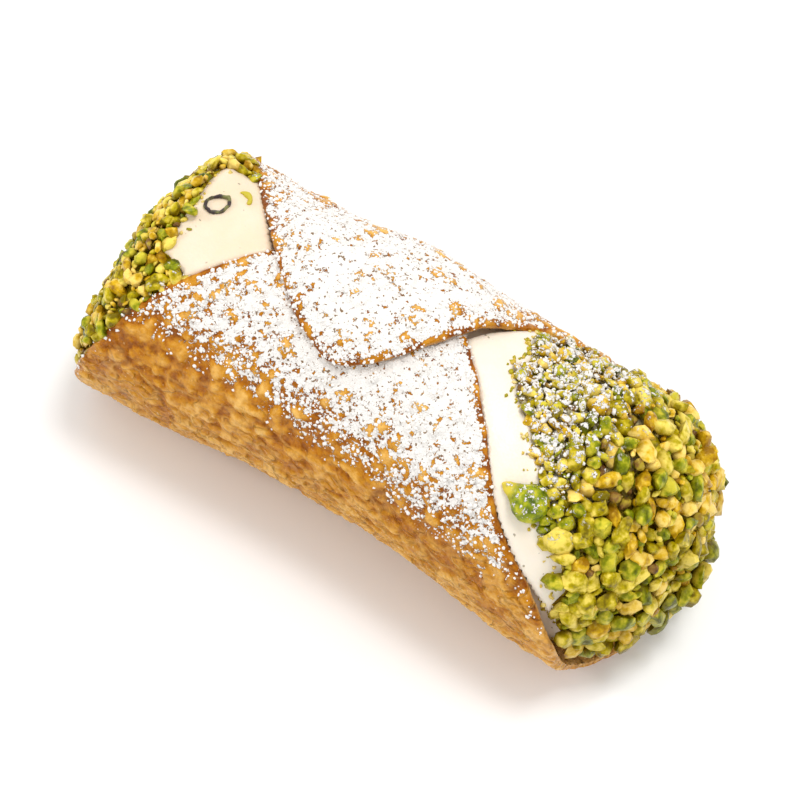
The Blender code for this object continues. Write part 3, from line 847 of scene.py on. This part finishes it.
CRUMBS = {-1: 800, 1: 3000}
CRUMB_SIZE, CRUMB_DEPTH = (0.00022, 0.00052), 0.0009
STRAY_SHARE, STRAY_REACH = 0.12, 0.0006

crumb_centres, crumb_sizes, crumb_strayed = [], [], []
for side, count in CRUMBS.items():
    turn = picks.uniform(-math.pi, math.pi, count)
    strayed = np.where(picks.random(count) < STRAY_SHARE, picks.exponential(STRAY_REACH, count), 0.0)
    border = share_at(side, turn, nut_border(side, turn) - strayed)
    share = np.where(strayed > 0, border, 1.0 - (1.0 - border) * picks.random(count) ** 0.5)
    crumb_sizes.append(picks.uniform(*CRUMB_SIZE, count))
    above = nut_surface(side, share, turn, -CRUMB_DEPTH)
    resting = cream_surface(side, share, turn)
    crumb_centres.append(np.where(strayed[:, None] > 0, resting, above))
    crumb_strayed.append(strayed > 0)
crumb_centres, crumb_sizes = np.concatenate(crumb_centres), np.concatenate(crumb_sizes)
crumbs, ball = strew("pistachio_crumbs", 1, len(crumb_sizes))
shapes = np.einsum("nij,nvj->nvi", spin(len(crumb_sizes), picks), chop(ball, len(crumb_sizes), picks))
points = crumb_centres[:, None] + crumb_sizes[:, None, None] * shapes
points[:, :, 2] = np.maximum(points[:, :, 2], low[2])
write_points(crumbs, points.reshape(-1, 3))
crumb_tints = picks.random(len(crumb_sizes))
crumb_tints = np.where(np.concatenate(crumb_strayed), 0.35 + 0.65 * crumb_tints, crumb_tints)
write_layer(crumbs, "tint", np.repeat(crumb_tints, len(ball)))
bpy.ops.object.shade_smooth()

crumb_look, tree, shader = new_look("pistachio_crumb_look")
colour = ramp(tree, layer_value(tree, "tint"), [
    (0.0, (0.08, 0.04, 0.015)), (0.2, (0.20, 0.20, 0.003)), (0.5, (0.46, 0.38, 0.008)),
    (0.8, (0.66, 0.46, 0.06)), (1.0, (0.84, 0.68, 0.26))])
tree.links.new(colour, shader.inputs["Base Color"])
shader.inputs["Roughness"].default_value = 0.4
shader.inputs["Specular IOR Level"].default_value = 0.25
crumbs.data.materials.append(crumb_look)
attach(crumbs, "root")
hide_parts("nut_coat_left", "nut_coat_right")


# ---- Half kernel ---------------------------------------------------------------------------------------
# One pistachio kernel split in half, green with a yellow tip. It stands out from the nuts on the bare cream,
# with its tip on the dough's rim and icing sugar on its back.

KERNEL = (0.0037, 0.0024, 0.0020)
KERNEL_X, KERNEL_TURN, KERNEL_SPIN = 0.0281, math.radians(-140.0), math.radians(-8.0)
KERNEL_RAISED, KERNEL_LUMPS = 0.0008, 0.00022


def set_down(piece, side, x, turn, spun):
    """Lays a piece modelled flat round the origin on the cream, facing out, after turning it by this much."""
    share = share_at(side, np.array([turn]), side * x)
    corner = cream_surface(side, share, np.array([turn]))[0]
    beside = cream_surface(side, share, np.array([turn + 0.01]))[0] - corner
    beyond = cream_surface(side, share + 0.005, np.array([turn]))[0] - corner
    beyond, beside = beyond / np.linalg.norm(beyond), beside / np.linalg.norm(beside)
    facing = np.cross(beyond, beside) * side
    facing *= np.sign(facing[2])
    facing /= np.linalg.norm(facing)
    beside = np.cross(facing, beyond)
    flat = read_points(piece)
    right = flat[:, 0] * math.cos(spun) - flat[:, 1] * math.sin(spun)
    up = flat[:, 0] * math.sin(spun) + flat[:, 1] * math.cos(spun)
    write_points(piece, corner + right[:, None] * beyond + up[:, None] * beside + flat[:, 2:] * facing)


bpy.ops.object.select_all(action="DESELECT")
bpy.ops.mesh.primitive_uv_sphere_add(segments=36, ring_count=30, radius=1.0)
kernel = bpy.context.object
kernel.name = "half_kernel"
ball = read_points(kernel)
along = ball[:, 2]
fullness = (1.0 + 0.45 * along) * (1.0 - 0.30 * smooth(-1.5 * along))
flat = np.stack([along, ball[:, 0] * fullness, np.maximum(ball[:, 1], -0.35) * fullness], axis=1) * KERNEL
flat += KERNEL_LUMPS * wander(flat, 0.0013, 3, 51.0)[:, None] * ball[:, [2, 0, 1]]
flat[:, 2] += KERNEL_RAISED
write_points(kernel, flat)
set_down(kernel, 1, KERNEL_X, KERNEL_TURN, KERNEL_SPIN)
write_layer(kernel, "tip", smooth(-1.6 * along - 0.3))
write_layer(kernel, "sugar", 0.26 * smooth(1.4 * ball[:, 1] - 0.1 + 0.5 * ball[:, 0]))
bpy.ops.object.shade_smooth()

look, tree, shader = new_look("half_kernel_look")
mottling = grain(tree, object_place(tree), 0.0016, 3.0)
green = ramp(tree, mottling, [
    (0.36, (0.07, 0.11, 0.001)), (0.52, (0.27, 0.32, 0.001)), (0.68, (0.64, 0.58, 0.02))])
colour = mixed(tree, sums(tree, "MULTIPLY", layer_value(tree, "tip"), 0.75), green, (0.74, 0.55, 0.06))
sugar_height = dust_over(tree, shader, colour, 3.3, 1.25, 0.28, 0.9)[1]
roughen(tree, shader, sums(tree, "ADD", mottling, sugar_height), 0.00030, 0.8)
shader.inputs["Specular IOR Level"].default_value = 0.3
kernel.data.materials.append(look)
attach(kernel, "root")
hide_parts("nut_coat_right")


# ---- Strays on the left cream --------------------------------------------------------------------------
# A curled ring of purple pistachio skin and a curved sliver of kernel, which landed on the cream and stuck.

RING_RADIUS, RING_THICK, RING_STRETCH = 0.00155, 0.00024, (1.18, 0.88, 1.5)
RING_X, RING_TURN, RING_SPIN = -0.0322, math.radians(177.0), math.radians(-118.0)
SLIVER_ARM, SLIVER_THICK, SLIVER_BEND = 0.00120, 0.00045, math.radians(80.0)
SLIVER_X, SLIVER_TURN, SLIVER_SPIN = -0.0302, math.radians(167.0), math.radians(-120.0)

bpy.ops.object.select_all(action="DESELECT")
bpy.ops.mesh.primitive_torus_add(major_segments=64, minor_segments=12, major_radius=RING_RADIUS,
                                 minor_radius=RING_THICK)
ring = bpy.context.object
ring.name = "skin_ring"
points = read_points(ring)
way = np.arctan2(points[:, 1], points[:, 0])
points[:, :2] *= 1.0 + 0.05 * np.sin(3.0 * way + 1.0)[:, None] + 0.03 * np.sin(7.0 * way)[:, None]
points += 0.00010 * wander(points, 0.0005, 2, 41.0)[:, None] * [1.0, 1.0, 0.5]
points *= RING_STRETCH
points[:, 2] += 0.0002
write_points(ring, points)
set_down(ring, -1, RING_X, RING_TURN, RING_SPIN)
bpy.ops.object.shade_smooth()

bpy.ops.object.select_all(action="DESELECT")
bpy.ops.mesh.primitive_uv_sphere_add(segments=12, ring_count=20, radius=1.0)
sliver = bpy.context.object
sliver.name = "kernel_sliver"
ball = read_points(sliver)
bend = SLIVER_BEND * ball[:, 2]
thick = SLIVER_THICK * (1.0 + 0.25 * np.sin(5.0 * ball[:, 2]))
arm = SLIVER_ARM + thick * ball[:, 0]
raised = 0.9 * thick * ball[:, 1] + 0.00015
write_points(sliver, np.stack([arm * np.cos(bend), arm * np.sin(bend), raised], axis=1))
close_up()
set_down(sliver, -1, SLIVER_X, SLIVER_TURN, SLIVER_SPIN)
bpy.ops.object.shade_smooth()

for piece, deep, pale in ((ring, (0.035, 0.020, 0.022), (0.20, 0.20, 0.06)),
                          (sliver, (0.56, 0.46, 0.02), (0.88, 0.74, 0.08))):
    look, tree, shader = new_look(piece.name + "_look")
    spots = level(tree, grain(tree, object_place(tree), 0.0014, 2.0), 0.48, 0.66)
    tree.links.new(mixed(tree, spots, deep, pale), shader.inputs["Base Color"])
    shader.inputs["Roughness"].default_value = 0.45
    piece.data.materials.append(look)
    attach(piece, "root")
    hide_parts("nut_coat_left")


# ---- Loose icing sugar ---------------------------------------------------------------------------------
# Grains and clots of icing sugar, lying loose where the dusting thins out on the dough, on its rims and on
# the upper nuts.

SMALLEST_GRAIN, GRAIN_SPREAD = 0.00010, 0.00026

grain_places = np.concatenate(grain_spots)
sugar_grains, ball = strew("sugar_grains", 1, len(grain_places))
sizes = SMALLEST_GRAIN + GRAIN_SPREAD * grain_picks.random((len(grain_places), 1, 1)) ** 2.2
shapes = ball[None] * grain_picks.uniform(0.65, 1.25, (len(grain_places), len(ball), 1))
shapes = shapes * grain_picks.uniform(0.7, 1.3, (len(grain_places), 1, 3))
points = grain_places[:, None] + sizes * shapes
points[:, :, 2] = np.maximum(points[:, :, 2], low[2])
write_points(sugar_grains, points.reshape(-1, 3))
bpy.ops.object.shade_smooth()

grain_look, tree, shader = new_look("sugar_grain_look")
shader.inputs["Base Color"].default_value = (0.92, 0.89, 0.85, 1.0)
shader.inputs["Roughness"].default_value = 0.85
sugar_grains.data.materials.append(grain_look)
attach(sugar_grains, "root")
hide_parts("shell")


# ---- Floor, lights and camera --------------------------------------------------------------------------
# The cannolo lies on a plain white table under broad soft light from above and behind.

bpy.ops.object.select_all(action="DESELECT")
bpy.ops.mesh.primitive_plane_add(size=4.0, location=(0.0, 0.0, cad_box[0].z))
floor = bpy.context.object
floor.name = "floor"
floor_look, tree, shader = new_look("white_table")
shader.inputs["Base Color"].default_value = (0.96, 0.96, 0.96, 1.0)
shader.inputs["Roughness"].default_value = 0.6
floor.data.materials.append(floor_look)
floor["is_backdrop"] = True

room = bpy.data.worlds.new("studio")
bpy.context.scene.world = room
room.use_nodes = True
room.node_tree.nodes["Background"].inputs["Color"].default_value = (1.0, 1.0, 1.0, 1.0)
room.node_tree.nodes["Background"].inputs["Strength"].default_value = 0.83

target = Vector((0.0, 0.0, 0.5 * cad_box[1].z))


def direction(azimuth, elevation):
    """From the cannolo towards this compass direction, counted from the front, and this height."""
    turn, rise = math.radians(azimuth), math.radians(elevation)
    return Vector((math.sin(turn) * math.cos(rise), -math.cos(turn) * math.cos(rise), math.sin(rise)))


def soft_box(name, azimuth, elevation, distance, size, power):
    """A square area light aimed at the cannolo."""
    away = direction(azimuth, elevation)
    bpy.ops.object.light_add(type="AREA", location=target + distance * away)
    lamp = bpy.context.object
    lamp.name = name
    lamp.data.size = size
    lamp.data.energy = power
    lamp.rotation_euler = (-away).to_track_quat("-Z", "Y").to_euler()


soft_box("key", 130.0, 79.0, 0.9, 0.26, 3.0)
soft_box("fill", -62.0, 34.0, 1.0, 0.16, 1.9)
soft_box("glint", 160.0, 58.0, 0.9, 0.10, 0.7)

VIEW_AZIMUTH, VIEW_ELEVATION, VIEW_DISTANCE, VIEW_ROLL, LENS = 26.4, 58.4, 0.3634, 7.7, 112.0
toward_camera = direction(VIEW_AZIMUTH, VIEW_ELEVATION)
bpy.ops.object.camera_add(location=target + VIEW_DISTANCE * toward_camera)
camera = bpy.context.object
camera.name = "camera"
camera.data.lens = LENS
camera.data.clip_start = 0.01
level_turn = (-toward_camera).to_track_quat("-Z", "Y")
camera.rotation_euler = (level_turn @ Quaternion((0.0, 0.0, 1.0), math.radians(VIEW_ROLL))).to_euler()
bpy.context.scene.camera = camera
bpy.context.scene.view_settings.view_transform = "Standard"

sizes = {"cad": [list(corner) for corner in cad_box], "visual": [list(corner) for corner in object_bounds()]}
